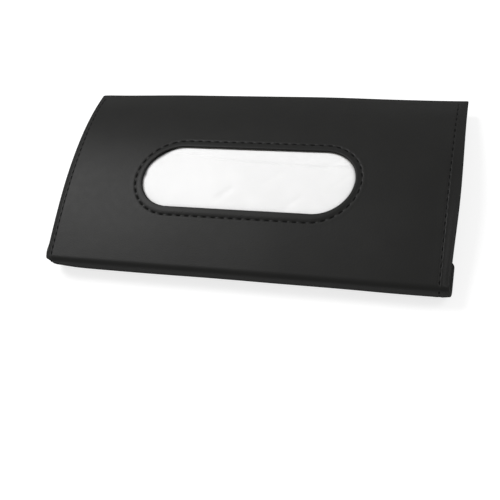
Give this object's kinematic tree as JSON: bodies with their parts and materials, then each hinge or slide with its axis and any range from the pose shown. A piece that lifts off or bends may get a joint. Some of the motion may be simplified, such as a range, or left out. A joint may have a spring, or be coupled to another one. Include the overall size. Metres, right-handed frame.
{
  "type": "car tissue holder",
  "caption": "Leather tissue case that straps under a sun visor, with an arched front, a long rounded window, a magnetic refill flap and elastic back straps.",
  "frame": {"origin": "centre of the footprint at the lowest point of the elastic straps, with the holder lying on its back", "axes": "+X along the width, +Y towards the folded top edge, away from the flap's roll, +Z out of the arched front"},
  "size_m": [0.233, 0.1254, 0.0228],
  "materials": {
    "black_leather": "satin coated leather with a fine smooth grain",
    "stiffener_board": "plain matt board",
    "lining_cloth": "plain black woven lining",
    "sewing_thread": "twisted black thread",
    "elastic_band": "ribbed woven elastic",
    "strike_steel": "bare steel",
    "magnet_nickel": "nickel plated",
    "clear_film": "thin clear wrapping film",
    "white_tissue": "soft white tissue paper"
  },
  "bodies": {
    "case": {"front_leather": "black_leather", "front_board": "stiffener_board", "front_lining": "lining_cloth", "window_stitches": "sewing_thread", "left_seam_stitches": "sewing_thread", "right_seam_stitches": "sewing_thread", "back_top_stitches": "sewing_thread", "back_leather": "black_leather", "back_board": "stiffener_board", "back_lining": "lining_cloth", "left_gusset": "lining_cloth", "right_gusset": "lining_cloth", "strike_plate_left": "strike_steel", "strike_plate_right": "strike_steel", "strap_left": "elastic_band", "strap_right": "elastic_band", "strap_top_stitches_left": "sewing_thread", "strap_top_stitches_right": "sewing_thread", "strap_bottom_stitches_left": "sewing_thread", "strap_bottom_stitches_right": "sewing_thread", "pack_film": "clear_film", "tissue_stack": "white_tissue", "top_tissue": "white_tissue"},
    "flap": {"flap_leather": "black_leather", "flap_board": "stiffener_board", "flap_lining": "lining_cloth", "flap_stitches": "sewing_thread", "flap_magnet_left": "magnet_nickel", "flap_magnet_right": "magnet_nickel"}
  },
  "joints": [
    {"name": "flap_hinge", "type": "hinge", "parent": "case", "child": "flap", "pos_m": [0, -0.05664, 0.01651], "axis": [-1, 0, 0], "range_deg": [0, 150]}
  ]
}
